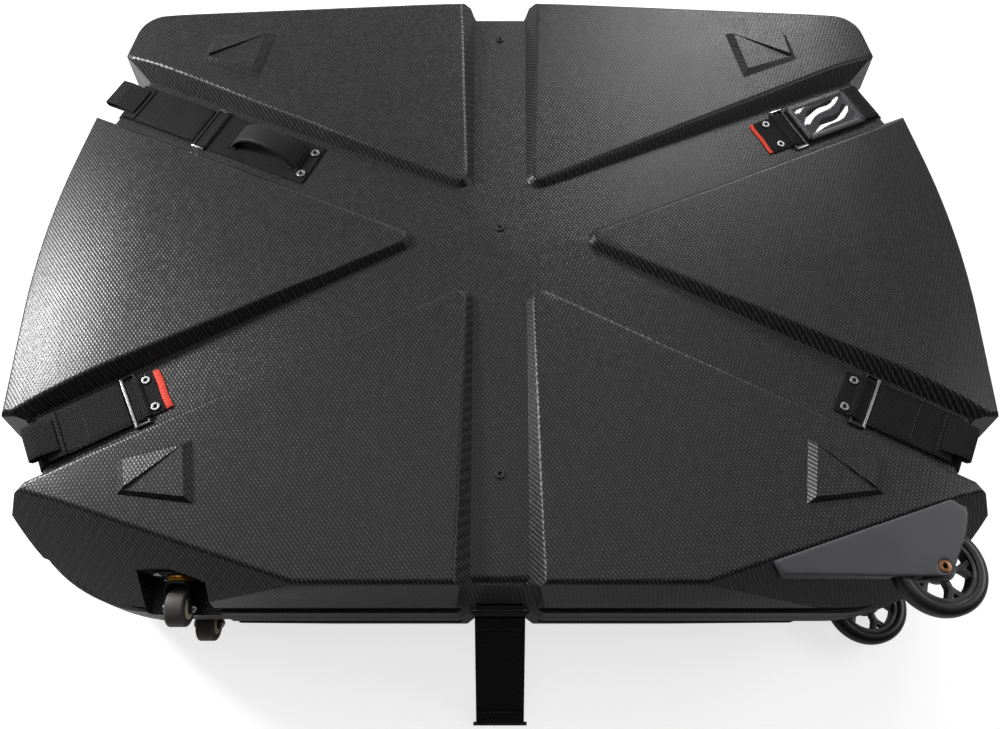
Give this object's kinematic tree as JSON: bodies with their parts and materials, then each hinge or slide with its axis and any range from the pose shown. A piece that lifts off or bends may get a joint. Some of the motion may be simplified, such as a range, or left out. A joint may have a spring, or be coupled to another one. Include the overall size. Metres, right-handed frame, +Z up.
{
  "type": "bike travel case",
  "caption": "Hard clamshell travel case for a bicycle with strap channels across both faces, corner wheels, swivel casters, closing straps and a carry handle.",
  "frame": {"origin": "centre of the bounding box in plan, on the floor under the base feet", "axes": "+X along the long side towards the big wheels, +Y towards the back edge, +Z up through the lid"},
  "size_m": [1.3258, 1.0944, 0.3057],
  "materials": {
    "shell": "woven semi-gloss charcoal",
    "seal": "matte black",
    "foam": "matte grey foam",
    "webbing": "woven black",
    "red_tab": "woven red",
    "ring": "dark grey",
    "guard": "matte dark grey",
    "tyre": "matte black",
    "hub": "satin dark grey",
    "steel": "bright",
    "black_steel": "black",
    "chromate": "yellow zinc",
    "bronze": "dark bronze",
    "caster_tread": "matte brown grey",
    "caster_core": "cream",
    "window_frame": "clear grey edge",
    "window_pane": "clear"
  },
  "bodies": {
    "base": {"base_shell": "shell", "rim_seal": "seal", "base_foam": "foam", "base_tie_straps": "webbing", "base_channel_screws": "steel", "base_channel_nuts": "steel", "base_wheel_guard": "guard", "base_axle_bolt": "bronze", "base_axle_spacers": "steel", "base_caster_plate": "black_steel", "base_caster_race": "chromate", "base_caster_screws": "steel", "base_anchor_tabs": "webbing", "base_anchor_rivets": "steel"},
    "lid": {"lid_shell": "shell", "lid_foam": "foam", "lid_tie_straps": "webbing", "lid_channel_screws": "steel", "lid_channel_nuts": "steel", "lid_wheel_guard": "guard", "lid_axle_bolt": "bronze", "lid_axle_spacers": "steel", "lid_caster_plate": "black_steel", "lid_caster_race": "chromate", "lid_caster_screws": "steel", "strap_back_left": "webbing", "strap_back_right": "webbing", "strap_front_left": "webbing", "strap_front_right": "webbing", "strap_rings": "ring", "anchor_tabs": "webbing", "anchor_rivets": "steel", "pull_tabs": "red_tab", "handle_plate": "webbing", "carry_handle": "webbing", "handle_screws": "steel", "front_strap_tab": "webbing", "front_strap_ring": "ring"},
    "lid_wheel": {"lid_tyre": "tyre", "lid_hub": "hub", "lid_bearings": "steel"},
    "lid_caster": {"lid_caster_fork": "black_steel", "lid_caster_axle": "steel"},
    "lid_caster_wheel": {"lid_caster_tread": "caster_tread", "lid_caster_core": "caster_core"},
    "base_wheel": {"base_tyre": "tyre", "base_hub": "hub", "base_bearings": "steel"},
    "base_caster": {"base_caster_fork": "black_steel", "base_caster_axle": "steel"},
    "base_caster_wheel": {"base_caster_tread": "caster_tread", "base_caster_core": "caster_core"},
    "flap_back_left_body": {"flap_back_left": "webbing"},
    "flap_back_right_body": {"flap_back_right": "webbing", "window_frame": "window_frame", "window_pane": "window_pane"},
    "flap_front_left_body": {"flap_front_left": "webbing"},
    "flap_front_right_body": {"flap_front_right": "webbing"},
    "front_strap_body": {"front_strap": "webbing", "front_strap_bar": "steel"}
  },
  "joints": [
    {"name": "lid_lift", "type": "slide", "parent": "base", "child": "lid", "axis": [0, 0, 1], "range_m": [0, 0.45]},
    {"name": "lid_wheel_spin", "type": "hinge", "parent": "lid", "child": "lid_wheel", "pos_m": [0.521, -0.38913, 0.26], "axis": [0, 0, 1], "continuous": true},
    {"name": "lid_caster_swivel", "type": "hinge", "parent": "lid", "child": "lid_caster", "pos_m": [-0.398, -0.38413, 0.209], "axis": [0, 1, 0], "continuous": true},
    {"name": "lid_caster_roll", "type": "hinge", "parent": "lid_caster", "child": "lid_caster_wheel", "pos_m": [-0.398, -0.42213, 0.195], "axis": [1, 0, 0], "continuous": true},
    {"name": "base_wheel_spin", "type": "hinge", "parent": "base", "child": "base_wheel", "pos_m": [0.521, -0.38913, 0.04], "axis": [0, 0, 1], "continuous": true},
    {"name": "base_caster_swivel", "type": "hinge", "parent": "base", "child": "base_caster", "pos_m": [-0.398, -0.38413, 0.091], "axis": [0, 1, 0], "continuous": true},
    {"name": "base_caster_roll", "type": "hinge", "parent": "base_caster", "child": "base_caster_wheel", "pos_m": [-0.398, -0.42213, 0.077], "axis": [1, 0, 0], "continuous": true},
    {"name": "flap_back_left_swing", "type": "hinge", "parent": "lid", "child": "flap_back_left_body", "pos_m": [-0.45123, 0.2842, 0.26963], "axis": [0.4147, 0.91, 0], "range_deg": [0, 120]},
    {"name": "flap_back_right_swing", "type": "hinge", "parent": "lid", "child": "flap_back_right_body", "pos_m": [0.45123, 0.2842, 0.26963], "axis": [0.4147, -0.91, 0], "range_deg": [0, 120]},
    {"name": "flap_front_left_swing", "type": "hinge", "parent": "lid", "child": "flap_front_left_body", "pos_m": [-0.48036, -0.17813, 0.26889], "axis": [-0.4602, 0.8878, 0], "range_deg": [0, 120]},
    {"name": "flap_front_right_swing", "type": "hinge", "parent": "lid", "child": "flap_front_right_body", "pos_m": [0.48036, -0.17813, 0.26889], "axis": [-0.4602, -0.8878, 0], "range_deg": [0, 120]},
    {"name": "front_strap_swing", "type": "hinge", "parent": "lid", "child": "front_strap_body", "pos_m": [0, -0.42129, 0.14037], "axis": [-1, 0, 0], "range_deg": [0, 110]}
  ]
}
